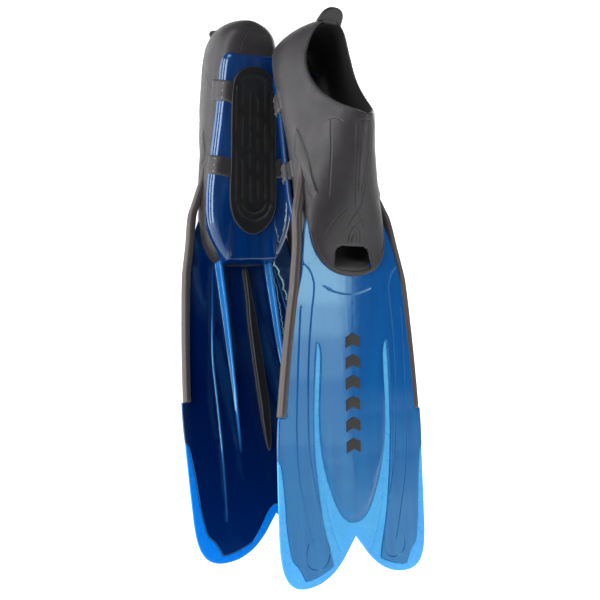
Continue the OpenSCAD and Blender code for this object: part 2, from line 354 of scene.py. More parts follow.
class Shader:
    """A small helper that wires one node material."""

    def __init__(self, name):
        self.material = bpy.data.materials.new(name)
        self.material.use_nodes = True
        self.nodes = self.material.node_tree.nodes
        self.links = self.material.node_tree.links
        self.bsdf = self.nodes["Principled BSDF"]

    def add(self, kind, values=None, **settings):
        node = self.nodes.new("ShaderNode" + kind)
        for key, value in settings.items():
            setattr(node, key, value)
        for key, value in (values or {}).items():
            if isinstance(value, bpy.types.NodeSocket):
                self.links.new(value, node.inputs[key])
            else:
                node.inputs[key].default_value = value
        return node

    def set(self, **values):
        for key, value in values.items():
            socket = self.bsdf.inputs[key.replace("_", " ")]
            if isinstance(value, bpy.types.NodeSocket):
                self.links.new(value, socket)
            else:
                socket.default_value = value

    def place(self, scale=(1, 1, 1)):
        """Local millimetres, scaled."""
        at = self.add("Attribute", attribute_name="place").outputs["Vector"]
        return self.add("Mapping", {"Vector": at, "Scale": scale}).outputs["Vector"]

    def noise(self, scale, detail=3, stretch=(1, 1, 1), rough=0.5):
        node = self.add("TexNoise", {"Vector": self.place(stretch), "Scale": scale,
                                     "Detail": detail, "Roughness": rough})
        return node.outputs["Fac"]

    def ramp(self, factor, *stops):
        node = self.add("ValToRGB", {"Fac": factor})
        while len(node.color_ramp.elements) < len(stops):
            node.color_ramp.elements.new(0.5)
        for element, (at, colour) in zip(node.color_ramp.elements, stops):
            element.position = at
            element.color = colour if not np.isscalar(colour) else (colour, colour, colour, 1)
        return node.outputs["Color"]

    def range(self, value, low, high, to_low, to_high):
        node = self.add("MapRange", {"Value": value, "From Min": low, "From Max": high,
                                     "To Min": to_low, "To Max": to_high})
        return node.outputs["Result"]

    def mix(self, factor, a, b, blend="MIX"):
        node = self.add("Mix", data_type="RGBA", blend_type=blend)
        for i, value in ((0, factor), (6, a), (7, b)):
            if isinstance(value, bpy.types.NodeSocket):
                self.links.new(value, node.inputs[i])
            else:
                node.inputs[i].default_value = value
        return node.outputs[2]

    def bump(self, height, strength, depth, before=None):
        """Relief of a depth in millimetres."""
        values = {"Height": height, "Strength": strength, "Distance": depth * MM}
        if before is not None:
            values["Normal"] = before
        return self.add("Bump", values).outputs["Normal"]


def rubber(name, colour, rough, grain=0.9, wear_and_highlight=0.35, streak=(1, 1, 1)):
    """Moulded rubber: fine grain, cloudy bloom, and sharp edges painted paler, partly as rubbed wear and
    partly as a painted highlight.
    """
    s = Shader(name)
    cloud = s.noise(0.035, 4, streak, 0.6)
    fine = s.noise(grain, 2, rough=0.7)
    base = s.ramp(cloud, (0.3, tuple(0.78 * c for c in colour[:3]) + (1,)),
                  (0.7, tuple(1.25 * c for c in colour[:3]) + (1,)))
    # Paler sharp edges: partly rubbed wear, partly a painted highlight along the edges.
    edge = s.add("NewGeometry").outputs["Pointiness"]
    rubbed_and_lit_edge = s.range(edge, 0.51, 0.58, 0, wear_and_highlight)
    s.set(Base_Color=s.mix(rubbed_and_lit_edge, base, tuple(min(1, 2.4 * c + 0.02) for c in colour[:3]) + (1,)),
          Roughness=s.range(s.noise(0.09, 5, rough=0.7), 0.3, 0.7, rough - 0.07, rough + 0.08),
          Normal=s.bump(fine, 0.35, 0.12, s.bump(s.noise(0.12, 3), 0.25, 0.3)),
          IOR=1.5)
    s.bsdf.inputs["Sheen Weight"].default_value = 0.12
    s.bsdf.inputs["Sheen Roughness"].default_value = 0.5
    return s.material


def gloss(shader, tint, level):
    """Polished, slightly tinted reflections, as of a clear moulding with colour in its depth."""
    socket = shader.bsdf.inputs
    socket["IOR"].default_value = 1.5
    socket["Specular IOR Level"].default_value = level
    socket["Specular Tint"].default_value = tint


def blade_plastic():
    """Deep blue plastic with a high gloss. The ribbed sole side is painted much darker as shade, the rib
    crests are painted lighter as a highlight, and darker streaks on the instep face are painted
    reflections.
    """
    s = Shader("blade_plastic")
    at = s.add("SeparateXYZ", {"Vector": s.add("Attribute", attribute_name="place").outputs["Vector"]})
    along = s.range(at.outputs["Y"], -60, 300, 0, 1)
    day = s.ramp(along, (0.2, srgb(0, 88, 164)), (0.5, srgb(4, 98, 172)), (0.8, srgb(14, 106, 172)))
    # Painted shade: the sole side gets a much darker copy of the blade's blue.
    shaded_sole = s.ramp(along, (0.1, srgb(0, 30, 84)), (0.5, srgb(0, 20, 70)), (1, srgb(0, 34, 92)))
    streak_noise = s.noise(1, 1.5, (0.09, 0.008, 0.09), 0.5)
    # Painted reflection: the streak noise darkens long streaks in the face colour. The same noise also
    # bumps the surface.
    face = s.mix(s.range(streak_noise, 0.4, 0.7, 0, 0.4), day, srgb(0, 70, 148))
    # Painted highlight: the deepest rib crests are coloured a light blue.
    rib_highlight = s.mix(s.range(at.outputs["Z"], -5.2, -3.9, 1, 0), shaded_sole, srgb(30, 116, 200))
    s.set(Base_Color=s.mix(s.range(at.outputs["Z"], -3, -1.4, 1, 0), face, rib_highlight),
          Roughness=s.range(s.noise(0.2, 5), 0.3, 0.7, 0.05, 0.10),
          Normal=s.bump(streak_noise, 0.25, 0.2))
    gloss(s, (0.5, 0.93, 1, 1), 0.85)
    return s.material


def tray_plastic():
    """The same blue plastic on the tray under the foot."""
    s = Shader("tray_plastic")
    streak_noise = s.noise(1, 4, (0.08, 0.012, 0.08), 0.55)
    s.set(Base_Color=s.ramp(streak_noise, (0.3, srgb(0, 34, 86)), (0.75, srgb(2, 58, 122))),
          Roughness=s.range(s.noise(0.2, 5), 0.3, 0.7, 0.09, 0.15),
          Normal=s.bump(streak_noise, 0.3, 0.25))
    gloss(s, (0.72, 0.93, 1, 1), 1)
    return s.material


def flex_elastomer():
    """Light blue soft plastic that lets light through. Its sole side is painted a deeper, darker blue as
    shade.
    """
    s = Shader("flex_elastomer")
    at = s.add("SeparateXYZ", {"Vector": s.add("Attribute", attribute_name="place").outputs["Vector"]})
    cloud = s.noise(1, 3, (0.02, 0.008, 0.02), 0.5)
    face = s.ramp(cloud, (0.3, srgb(64, 172, 246)), (0.7, srgb(82, 188, 252)))
    # Painted shade: below the middle the insert takes a deeper, darker blue.
    s.set(Base_Color=s.mix(s.range(at.outputs["Z"], -2.9, -1.6, 1, 0), face, srgb(0, 136, 232)),
          Roughness=s.range(s.noise(0.15, 5), 0.3, 0.7, 0.24, 0.34),
          Normal=s.bump(s.noise(0.6, 3), 0.08, 0.05))
    gloss(s, (0.8, 0.95, 1, 1), 0.5)
    s.bsdf.inputs["Subsurface Weight"].default_value = 0.35
    s.bsdf.inputs["Subsurface Radius"].default_value = (0.001, 0.003, 0.006)
    s.bsdf.inputs["Subsurface Scale"].default_value = 1
    return s.material


POCKET_RUBBER = rubber("pocket_rubber", srgb(40, 37, 40), 0.44)
WELT_RUBBER = rubber("welt_rubber", srgb(38, 31, 30), 0.42)
PAD_RUBBER = rubber("pad_rubber", srgb(7, 7, 8), 0.42, wear_and_highlight=0.2)
RAIL_RUBBER = rubber("rail_rubber", srgb(62, 55, 53), 0.34, streak=(1, 0.15, 1))
MARK_RUBBER = rubber("mark_rubber", srgb(27, 23, 22), 0.5)
FOAM = rubber("insole_foam", srgb(14, 14, 15), 0.75, grain=0.5)
BLADE = blade_plastic()
TRAY_BLUE = tray_plastic()
FLEX = flex_elastomer()
# The keel and the pull tab get strongly paler edges: a painted highlight along their ridges, on top of
# wear.
RAIL_BLACK = rubber("keel_rubber", srgb(8, 8, 9), 0.38, wear_and_highlight=0.5, streak=(1, 0.15, 1))
STUD = rubber("stud_rubber", srgb(96, 96, 98), 0.28)


# ---- Blade ----

# Surface heights of the stiff panels and of the flexible insert, as (sole side, instep side)
PANEL_N = (-3.6, -0.4)
INSERT_N = (-3.2, -0.9)
CHANNEL_FLOOR = -2.4
WING_SLOPE = math.tan(math.radians(10))


def bow(t):
    """Height of the blade's gentle bow, and of the wings that slope back beside the pocket."""
    bowed = np.interp(t, [0, 60, 140, 180, 245, 275, 304], [0, -1, -2.2, -2.2, -0.8, 0.6, 2.2])
    return bowed + np.minimum(0, t + 8) * WING_SLOPE


# Half lines of the blade's outline, as stretches of (u, t)
WING_IN = [(0, -10), (20, -10), (36, -22), (45, -42), (49, -58)]
WING_OUT = [(49, -58), (55, -44), (60.5, -22), (65, 0), (68.5, 13), (72.5, 32), (79, 80), (85, 136.5)]
STEP_OUT = [(92.8, 137.5), (94.2, 158), (94.6, 178)]
EDGING_IN = [(91.6, 182), (89.5, 196), (87.6, 218), (86, 245), (83.4, 263)]
EDGING_KINK = [(83.4, 263), (80.5, 275), (75, 281), (71, 287), (66.5, 296)]
TIP_IN = [(66.5, 296), (58, 295.5), (45, 292), (31, 286)]
NOTCH_IN = [(31, 286), (21, 274), (11.5, 260.5), (5, 253.5), (0, 251.5)]
CHANNEL_OUT = [(31, 286), (34, 272), (41, 245), (45.5, 215), (48.6, 188), (50, 160), (50, 135),
               (49.2, 113), (48, 90), (46.6, 73)]
CHANNEL_TOP = [(46.6, 73), (45.8, 67.5), (44, 66.5), (42.6, 70)]
TONGUE = [(42.6, 70), (41.2, 79), (41.8, 100), (43.4, 130), (42.8, 160), (38.5, 188), (30, 215),
          (19.5, 236), (9.5, 245), (0, 247)]
OUTLINE = [(94.6, 178), (95, 215), (95, 250), (94.2, 270), (91.2, 285.5), (85, 296.5), (76, 302),
           (64, 303.6), (47, 301), (31, 293.5), (18, 282.5), (8, 270.5), (0, 260.5)]

# Engraved lines on the instep side
GROOVE_IN = [(64, -12), (54, -4), (49, 10), (52, 36), (55, 63), (57, 98), (57.4, 135), (56.5, 170),
             (50.6, 205), (41.5, 240), (36.5, 266), (36.5, 277), (43, 285.5), (53, 286.5),
             (62, 282), (64.5, 273), (62, 262)]
GROOVE_OUT = [(66, 33.5), (70.5, 109), (72, 156), (70, 196), (63, 231), (53, 269)]
TOE_ARC = [(36, 11), (22, 16.5), (6, 18.8), (-8, 17.4), (-21, 13.4)]
TONGUE_BAND = [(40, 176), (35, 191), (27, 214), (17, 232), (8.5, 239.5), (0, 241.5)]

# Ribs on the sole side
MAIN_RIB = [(30, -14), (30, 20), (30.2, 60), (31, 110), (32, 150), (33.5, 194)]
THIN_RIB = [(37, -4), (44, 38), (51.5, 92), (53, 130), (54.5, 185), (58.5, 262)]


def groove(points, line, width, depth):
    """Depth of an engraved line at each point."""
    d, _ = distance(points, line)
    return depth * (0.5 + 0.5 * np.cos(np.pi * np.clip(2 * d / width, 0, 1)))


def ridge(points, line, half_width, height, power=4):
    """Height of a round-topped rib whose half width and height change along it."""
    d, share = distance(points, line)
    at = np.linspace(0, 1, len(half_width))
    wide = np.interp(share, at, half_width)
    tall = np.interp(share, np.linspace(0, 1, len(height)), height)
    return tall * np.exp(-((d / wide) ** power))


def panel_outline():
    """The stiff panel. It runs on under the channels, and ends short of the notch."""
    half = joined(*[smooth_line(s, 2.2) for s in (
        WING_IN, WING_OUT, STEP_OUT, EDGING_IN, EDGING_KINK, TIP_IN, NOTCH_IN)])
    return mirrored(half)


def insert_outline():
    """The flexible insert: the tip's edging, the notch and the two channels."""
    edge = smooth_line(OUTLINE, 2.2)
    back = joined(*[smooth_line(s, 2.2) for s in (
        EDGING_IN, EDGING_KINK, TIP_IN, CHANNEL_OUT, CHANNEL_TOP, TONGUE)])
    half = np.vstack([edge[::-1], back])
    return mirrored(half)


# Edge radius of the blade's two plastics, and the size of the engraved lines and the crease
BLADE_EDGE = 0.9
GROOVE_WIDE, GROOVE_DEEP = 1.4, 0.5
CREASE_WIDE, CREASE_DEEP = 1.8, 0.45


def blade_skin(fin):
    ring = panel_outline()
    lines = {name: smooth_line(points, 2) for name, points in (
        ("in", GROOVE_IN), ("out", GROOVE_OUT), ("arc", TOE_ARC), ("band", TONGUE_BAND),
        ("main", MAIN_RIB), ("thin", THIN_RIB))}
    engraved = both(lines["in"], lines["out"]) + [lines["arc"]]
    channel = insert_outline()
    near = edge_lines(ring, BLADE_EDGE)
    closed = np.vstack([channel[-1:], channel, channel[:1]])
    near += [offset(closed, x)[1:-1] for x in (-1.5, -0.9, -0.5, -0.2, 0.15, 0.35, 1)]
    near += [beside(line, (-1.3, -0.7, -0.35, 0, 0.35, 0.7, 1.3)) for line in engraved]
    near += [beside(line, (-0.6, 0.6)) for line in both(lines["band"])]
    near += [beside(line, (-4, -3, -2, -1, 0, 1, 2, 3, 4)) for line in both(lines["main"])]
    near += [beside(line, (-1.6, -0.8, 0, 0.8, 1.6)) for line in both(lines["thin"])]
    flat, tris, d = fill_plate(ring, near, 4)
    middle = bow(flat[:, 1])
    top = middle + PANEL_N[1] - rounding(d, BLADE_EDGE)
    for line in engraved:
        top -= groove(flat, line, GROOVE_WIDE, GROOVE_DEEP)
    for line in both(lines["band"]):
        side = distance(flat, line)[0] * np.where(inside(flat, tongue_inner(line)), -1, 1)
        top -= 0.5 / (1 + np.exp(-3 * np.clip(side, -4, 4))) * near_tongue_end(flat)
    top += 0.5 * np.exp(-(flat[:, 0] / 1.6) ** 2) * np.clip((flat[:, 1] - 190) / 20, 0, 1) * (
        flat[:, 1] < 238)
    from_channel, _ = distance(flat, channel, closed=True)
    within = inside(flat, channel)
    top -= np.where(within, 0, rounding(from_channel, 0.8) * 0.6)
    top = np.where(within & (from_channel > 0.05), middle + CHANNEL_FLOOR, top)
    bottom = middle + PANEL_N[0] + rounding(d, BLADE_EDGE)
    for line in both(lines["main"]):
        bottom -= ridge(flat, line, (3.2, 3, 2.4, 1.7, 1.3), (8, 7.2, 5.2, 3, 0.6))
    for line in both(lines["thin"]):
        bottom -= ridge(flat, line, (1.1, 1.0), (0.6, 1.9, 1.8, 0.8), 2)
    return plate(fin.side + "_blade_skin", tris, flat, top, bottom, fin.blade, BLADE, unbowed)


def unbowed(points):
    """Blade coordinates with the height above the bowed middle surface."""
    return points - np.column_stack([np.zeros((len(points), 2)), bow(points[:, 1])])


def tongue_inner(line):
    """Area of the tongue above its end band."""
    half = line if line[0][0] > 0 else flipped(line)
    return mirrored(np.vstack([[[0, 60]], [[45, 60]], [[45, 170]], half]))


def near_tongue_end(points):
    """1 on the tongue's lower end, 0 elsewhere."""
    on = (np.abs(points[:, 0]) < 44) & (points[:, 1] > 172) & (points[:, 1] < 249)
    return np.where(on, np.clip((points[:, 1] - 176) / 20, 0, 1), 0) * (
        np.abs(points[:, 0]) < np.interp(points[:, 1], [160, 188, 215, 236, 246], [44, 40, 32, 21, 9]))


def flex_insert(fin):
    ring = insert_outline()
    crease = both(smooth_line([(37, 222), (31, 246), (20, 274)], 2))
    near = edge_lines(ring, BLADE_EDGE) + [beside(line, (-1, -0.5, 0, 0.5, 1)) for line in crease]
    flat, tris, d = fill_plate(ring, near, 4)
    middle = bow(flat[:, 1])
    top = middle + INSERT_N[1] - rounding(d, BLADE_EDGE)
    for line in crease:
        top -= groove(flat, line, CREASE_WIDE, CREASE_DEEP)
    bottom = middle + INSERT_N[0] + rounding(d, BLADE_EDGE)
    return plate(fin.side + "_flex_insert_skin", tris, flat, top, bottom, fin.blade, FLEX, unbowed)


# ---- Keel and marks on the blade ----

# Edge radius of the keel
KEEL_EDGE = 1.6


def keel(fin):
    half = smooth_line([(0, -3), (1.8, -2.2), (2.2, 8), (2.8, 30), (4.4, 54), (5.2, 90), (5.0, 150),
                        (3.8, 180), (2, 193), (0, 196)], 1.8)
    ring = mirrored(half)
    drop = smooth_line([(0, 94), (1.6, 97.5), (2.4, 102), (1.6, 106), (0, 107.5)], 1)
    near = edge_lines(ring, KEEL_EDGE) + [beside(line, (-0.4, 0.4)) for line in both(drop)]
    flat, tris, d = fill_plate(ring, near, 2)
    middle = bow(flat[:, 1])
    depth = np.interp(flat[:, 1], [-3, 10, 150, 201], [6.5, 7, 6, 1.2])
    bottom = middle + PANEL_N[0] - depth + rounding(d, KEEL_EDGE)
    for line in both(drop):
        bottom += groove(flat, line, 1, 0.4)
    top = np.minimum(middle + PANEL_N[0] + 0.6, bottom + 20)
    return plate(fin.side + "_keel_strip", tris, flat, top, bottom, fin.blade, RAIL_BLACK)


# How many bars lie on the tongue, where the first one starts, and the distance between them
MARK_COUNT, MARK_FIRST, MARK_PITCH = 6, 58, 21
# Size and slant of a bar, how far it stands proud, how far it is sunk in, and its edge radius
MARK_HALF, MARK_LEN, MARK_SLANT = 9, 15, 4
MARK_UP, MARK_DOWN, MARK_EDGE = 0.85, 0.4, 0.45


def tongue_mark(fin):
    """Six plain chevron bars down the tongue."""
    points, faces = [], []
    outline = [(-MARK_HALF, MARK_SLANT), (0, 0), (MARK_HALF, MARK_SLANT), (MARK_HALF, MARK_LEN),
               (0, MARK_LEN - MARK_SLANT), (-MARK_HALF, MARK_LEN)]
    for i in range(MARK_COUNT):
        t0 = MARK_FIRST + MARK_PITCH * i
        ring = np.array([(u, t0 + t) for u, t in outline], float)
        sides = [smooth_line([a, b], 2)[:-1] for a, b in zip(ring, np.roll(ring, -1, axis=0))]
        ring = np.vstack(sides)
        flat, tris, d = fill_plate(ring, edge_lines(ring, MARK_EDGE), 3)
        middle = bow(flat[:, 1]) + PANEL_N[1]
        top = middle + MARK_UP - rounding(d, MARK_EDGE)
        faces += shell_faces(tris, len(flat), len(points))
        points += np.column_stack([flat, top]).tolist()
        points += np.column_stack([flat, middle - MARK_DOWN]).tolist()
    points = np.array(points)
    return make(fin.side + "_mark_bars", fin.blade(points), faces, points, MARK_RUBBER)


# ---- Side rails ----

# The rail's centre line as (u, t, n), its half widths at both ends and its half height
RAIL_HALF = (5, 3.75)
RAIL_HALF_N = 5.1
RAIL = [(43, -118, -26), (45, -97, -23), (54, -72, -17), (58.5, -60, -14), (63, -30, -8.5),
        (69.5, 2, -4.5), (71, 12.5, -4), (73, 24, -4), (81, 80, -4), (87.6, 137, -4)]


def rail(fin, outer):
    """Rubber rail from the pocket's side along the blade's edge, with a flat cut end."""
    turned = to_side(outer)
    line = smooth_line(RAIL, 3)
    line[:, 2] += np.where(line[:, 1] > 0, bow(line[:, 1]), 0)
    turns = np.linspace(0, 2 * np.pi, 25)[:-1]
    last = len(line) - 1
    centres = [line[0]] + list(line) + [line[last], line[last]]
    size = [0.2] + [min(1, 0.4 + 0.06 * i) for i in range(last + 1)] + [0.93, 0.82]
    shift = [0] * (last + 2) + [0.5, 0.8]
    centres = [c + [0, s, 0] for c, s in zip(centres, shift)]

    def ring(i):
        c, s = np.cos(turns), np.sin(turns)
        wide = np.interp(i, [0, last], RAIL_HALF) * size[i]
        u = wide * np.sign(c) * np.abs(c) ** 0.72
        n = RAIL_HALF_N * size[i] * np.sign(s) * np.abs(s) ** 0.86
        return np.column_stack([u, np.zeros(len(turns)), n])

    name = fin.side + ("_rail_outer" if outer else "_rail_inner")
    return sweep(name, centres, ring, lambda p: fin.blade(turned(p)), RAIL_RUBBER, turned)


# ---- Foot pocket ----

# The pocket's wall, its half outline as (u, v), and tables of (v, value): the heights of its top,
# of its widest line, of its outer base and of the floor inside, and how square its section is
WALL = 3
PLAN = [(0, -1.6), (8, -0.8), (16, 2), (23.5, 6.6), (29, 12.5), (32.5, 20), (35.5, 31), (38, 45),
        (40, 80), (41.8, 120), (45.2, 160), (49.6, 198), (50.4, 216), (48, 236), (42.5, 250),
        (33, 262), (20, 268.5), (8, 270.6), (0, 271)]
TOP = [(0, 100), (60, 104), (125, 101), (160, 83.5), (200, 60), (243, 36), (262, 31), (271, 27)]
MID = [(0, 22), (60, 29), (120, 34), (200, 30), (245, 28), (262, 27.5), (271, 26)]
BASE = [(0, 2), (30, 2.2), (40, 4), (244, 4), (253, 8), (261, 25), (271, 25)]
LINING = [(0, 7), (30, 7.2), (40, 9), (240, 9), (249, 13), (256, 27), (262, 28.4), (267, 27), (271, 26)]
SQUARE = [(0, 1.75), (150, 1.62), (200, 1.8), (240, 2.3), (268, 2.8)]
# Bezier points of the ankle opening's rim from the side, as (v, w)
RIM = [(-12, 102), (34, 53), (74, 45), (128, 104)]
# Distance round the skin from the top to the seam under the sole, in surface coordinates
SPREAD = 150
# Steps in a ring of the surface, from the top to the bottom
RING_STEPS = 120
# The first and the last station of the pocket
POCKET_ENDS = (-1.6, 271)
# Radii of the rim's and the toe window's edges
RIM_EDGE, WINDOW_EDGE = 1.4, 1.2


def soft(x, table):
    """A table of (v, value) read at x, with its corners softened."""
    xs, ys = np.array(table, float).T
    return (np.interp(x - 5, xs, ys) + 2 * np.interp(x, xs, ys) + np.interp(x + 5, xs, ys)) / 4


# Half outline of the tray, as (u, v)
TRAY = [(0, 33), (20, 33.2), (29, 35.5), (33.5, 44), (36, 62), (38.6, 90), (45.3, 143), (49.4, 175),
        (50.4, 196), (49.4, 215), (45, 232), (38.5, 246), (31, 257), (27, 262), (0, 262.5)]


def tray_rise(v):
    """Height of the tray's side rails, which rise beside the toes to the blade."""
    return np.interp(v, [0, 190, 205, 246, 262], [14, 14, 15.6, 22.5, 22.5])


def tray_half(v):
    """Half width of the tray at a station between its rounded ends."""
    sides = np.array(TRAY[2:13], float)
    return np.interp(v, sides[:, 1], sides[:, 0])


def rim_height(v):
    """Height of the ankle opening's rim above a station."""
    t = np.linspace(0, 1, 60)[:, None]
    a, b, c, d = np.array(RIM, float)
    p = a * (1 - t) ** 3 + 3 * b * t * (1 - t) ** 2 + 3 * c * t * t * (1 - t) + d * t ** 3
    return np.interp(v, p[:, 0], p[:, 1])


class PocketSurface:
    """The pocket's outer or inner surface. A point is (how far round from the top, how far along)."""

    def __init__(self, inset):
        plan = smooth_line(PLAN, 1.5)
        self.run = np.linspace(0, 1.5 * (len(plan) - 1), len(plan))
        turns = np.radians(np.linspace(90, -90, 181))
        c, s = np.cos(turns), np.sin(turns)
        rings = []
        for half, y in plan:
            half = max(half - inset, 0)
            y = min(max(y, POCKET_ENDS[0] + inset), POCKET_ENDS[1] - inset)
            top = soft(y, TOP) - inset * np.interp(y, [250, 262], [1, 0.5])
            power = 2 / soft(y, SQUARE)
            floor = min(soft(y, LINING if inset else BASE), top - 0.5)
            base = floor + 9 * np.clip(1 - (y - POCKET_ENDS[0]) / 16, 0, 1) ** 2
            mid = min(max(soft(y, MID), base + 0.4), top - 0.4)
            up = s >= 0
            w = np.where(up, mid + (top - mid) * np.abs(s) ** power,
                         mid - (mid - base) * np.abs(s) ** 0.75)
            u = half * np.abs(c) ** np.where(up, power, 0.5)
            if inset and y > 36:
                u = np.minimum(u, tray_half(y) - 6 + 3 * np.maximum(0, w - tray_rise(y) - 0.5))
            lean = 0.0045 * (w - 32) ** 2 * max(0, 1 - y / 120)
            ring = np.column_stack([u, y + lean, w])
            steps = np.linalg.norm(np.diff(ring, axis=0), axis=1)
            walk = np.concatenate([[0], np.cumsum(steps)])
            share = np.linspace(0, walk[-1], RING_STEPS + 1)
            rings.append(np.column_stack([np.interp(share, walk, ring[:, k]) for k in range(3)]))
        self.rings = np.array(rings)

    def at(self, flat):
        """Foot coordinates of surface points."""
        side = np.where(flat[:, 0] < 0, -1, 1)
        i = np.clip(flat[:, 1] / self.run[1], 0, len(self.run) - 1.0001)
        j = np.clip(np.abs(flat[:, 0]) / SPREAD * RING_STEPS, 0, RING_STEPS - 0.0001)
        i0, j0 = i.astype(int), j.astype(int)
        fi, fj = (i - i0)[:, None], (j - j0)[:, None]
        r = self.rings
        p = (r[i0, j0] * (1 - fi) * (1 - fj) + r[i0 + 1, j0] * fi * (1 - fj)
             + r[i0, j0 + 1] * (1 - fi) * fj + r[i0 + 1, j0 + 1] * fi * fj)
        return p * np.column_stack([side, np.ones(len(side)), np.ones(len(side))])

    def rim(self):
        """The ankle opening's edge, from the heel to the instep's middle."""
        out = []
        for k, ring in enumerate(self.rings):
            above = ring[:, 2] > rim_height(ring[:, 1])
            if not above[0]:
                break
            j = int(np.argmin(above))
            a = ring[j - 1, 2] - rim_height(ring[j - 1, 1])
            b = ring[j, 2] - rim_height(ring[j, 1])
            out.append(((j - 1 + a / (a - b)) / RING_STEPS * SPREAD, self.run[k]))
        return np.array(out)

    def find(self, u, v):
        """The surface point seen from above at (u, v)."""
        upper = RING_STEPS // 2 + 1
        best = None
        for ring, run in zip(self.rings[:, :upper], self.run):
            x = np.interp(abs(u), ring[:, 0], np.arange(upper))
            miss = abs(np.interp(x, np.arange(upper), ring[:, 1]) - v)
            miss += max(0, abs(u) - ring[:, 0].max())
            if best is None or miss < best[0]:
                best = (miss, x / RING_STEPS * SPREAD * (1 if u >= 0 else -1), run)
        return best[1:]


# Widths and depths of the engraved lines and of the hollow beside the leaf, and the leaf's height
LINE_SIZE, RECESS_SIZE, LEAF_UP = (1.5, 0.5), (6, 1.1), 1.5
# Mouldings on one side of the pocket, as (distance round from the top, distance along)
ENGRAVED = (
    [(40, 148), (40, 160), (39, 172), (39, 192), (39, 218)],
    [(13, 158), (12, 175), (9, 200), (5, 228)],
    [(7.5, 160), (6, 184), (2.5, 216)],
    [(13, 156), (7, 155), (0, 155)],
    [(42, 146), (35, 147), (28, 152)],
    [(4, 230), (-3, 237), (-11, 246)],
    [(17, 233), (33, 244), (46, 256)],
    [(10, 262), (7, 252), (0, 246.5)],
    [(4.5, 262), (3, 256.5), (0, 254)],
    [(82, 78), (89, 86), (99, 94)],
    [(133, 52), (138, 36), (145, 27), (150, 24.5)],
)
LEAF = [(82, 138), (86, 150), (88, 164), (83, 172), (75, 185), (65, 198), (59, 209), (52, 216),
        (60, 194), (66, 174), (74, 156), (82, 138)]
LEAF_RECESS = [(87, 176), (77, 191), (68, 203), (60, 215)]

OUTER = PocketSurface(0)
INNER = PocketSurface(WALL)


# Half of the toe window, seen from above the instep
WINDOW = [(0, 242.4), (14, 242.6), (19.5, 243.6), (23, 247), (25.5, 253), (27, 259), (25.5, 263.2),
          (19, 265.6), (0, 267)]


def pocket_outline():
    """The skin's edge and the toe window, in distances round from the top and along."""
    rim = OUTER.rim()
    rim = smooth_line(np.vstack([rim[::4], [[0, rim[-1][1] + 2]]]), 2)[::-1]
    end = OUTER.run[-1]
    back = smooth_line([(rim[-1][0], 0), (SPREAD, 0)], 3)
    seam = smooth_line([(SPREAD, 0), (SPREAD, end)], 3)
    low = smooth_line([(SPREAD, end), (0, end)], 3)
    rim[-1] = (rim[-1][0], 0)
    window = smooth_line([OUTER.find(u, v) for u, v in smooth_line(WINDOW, 2)], 1.6)
    window[0, 0] = window[-1, 0] = 0
    return mirrored(joined(rim, back, seam, low)), mirrored(window)


def foot_pocket(fin):
    ring, window = pocket_outline()
    near = edge_lines(ring, RIM_EDGE)
    near += inward(window, (-0.5, -1.1, -2, -3))
    lines = both(*[smooth_line(line, 1.8) for line in ENGRAVED])
    near += [beside(line, (-1.5, -0.8, -0.4, 0, 0.4, 0.8, 1.5)) for line in lines]
    leaves = both(smooth_line(LEAF, 1.8)[:-1])
    recesses = both(smooth_line(LEAF_RECESS, 2))
    near += [beside(line, (-1.6, -0.8, 0, 0.8, 1.6)) for line in leaves]
    near += [beside(line, (-3, -1.5, 0, 1.5, 3)) for line in recesses]
    flat, tris = fill([ring, window], near, 4.4)
    # The seam under the sole and the heel's and toe's ends aren't edges of the skin
    rim = ring[(np.abs(ring[:, 0]) < SPREAD - 0.1) & (ring[:, 1] > 0.1)
               & (ring[:, 1] < OUTER.run[-1] - 0.1)]
    outer, inner = OUTER.at(flat), INNER.at(flat)
    d = np.min([distance(outer, OUTER.at(part))[0] for part in split(rim)], axis=0)
    hole, _ = distance(outer, OUTER.at(window), closed=True)
    thick = outer - inner
    depth = np.linalg.norm(thick, axis=1)[:, None] + 1e-9
    out = thick / depth
    bead = 0.9 * np.sin(np.pi * np.clip(d / 7, 0, 1)) ** 2
    drop = rounding(d, RIM_EDGE) + rounding(hole, WINDOW_EDGE)
    for line in lines:
        drop += groove(outer, OUTER.at(line), *LINE_SIZE)
    for line in recesses:
        drop += groove(outer, OUTER.at(line), *RECESS_SIZE)
    for leaf in leaves:
        edge, _ = distance(outer, OUTER.at(leaf), closed=True)
        drop -= np.where(inside(flat, leaf), LEAF_UP * np.clip(edge / 1.4, 0, 1), 0)
    outer = outer + out * (bead - drop)[:, None]
    share = 1 - np.clip(np.minimum(d, hole) / RIM_EDGE, 0, 1)
    inner = inner + out * (0.8 * share)[:, None]
    return shell(fin.side + "_pocket_shell", tris, outer, inner, fin.foot, POCKET_RUBBER)


def split(line):
    """A line cut wherever two neighbouring points are far apart."""
    gaps = np.where(np.linalg.norm(np.diff(line, axis=0), axis=1) > 12)[0] + 1
    return [part for part in np.split(line, gaps) if len(part) > 1]


# ---- Tray, pad, straps and insole ----

# The tray's underside and floor, the radius of its side rails, and the width of their tops
TRAY_W = 2
FLOOR_W = 6
RAIL_ROUND = 9
RAIL_INSET = 5
# How much higher than wide the side rails' rounding is, and how high the front wall rises
RAIL_STRETCH = 1.25
FRONT_RISE = 22.6


# Where each of the blade's two main ribs runs out under the toes
TRAY_RIB = [(29.5, 261), (28, 248), (25.5, 214)]


def tray_under(flat, d):
    """Height of the tray's outer face: rounded side rails and a sloping front wall."""
    low = TRAY_W + rounding(d, RAIL_ROUND) * RAIL_STRETCH
    slope = np.clip((flat[:, 1] - 254) / 8, 0, 1)
    lip = np.where(np.abs(flat[:, 0]) < 31, slope, 0)
    under = np.maximum(low, TRAY_W + lip * FRONT_RISE)
    for line in both(smooth_line(TRAY_RIB, 3)):
        under -= ridge(flat, line, (1.3, 1.3, 0.9), (1.6, 1.6, 0.3), 2)
    return under


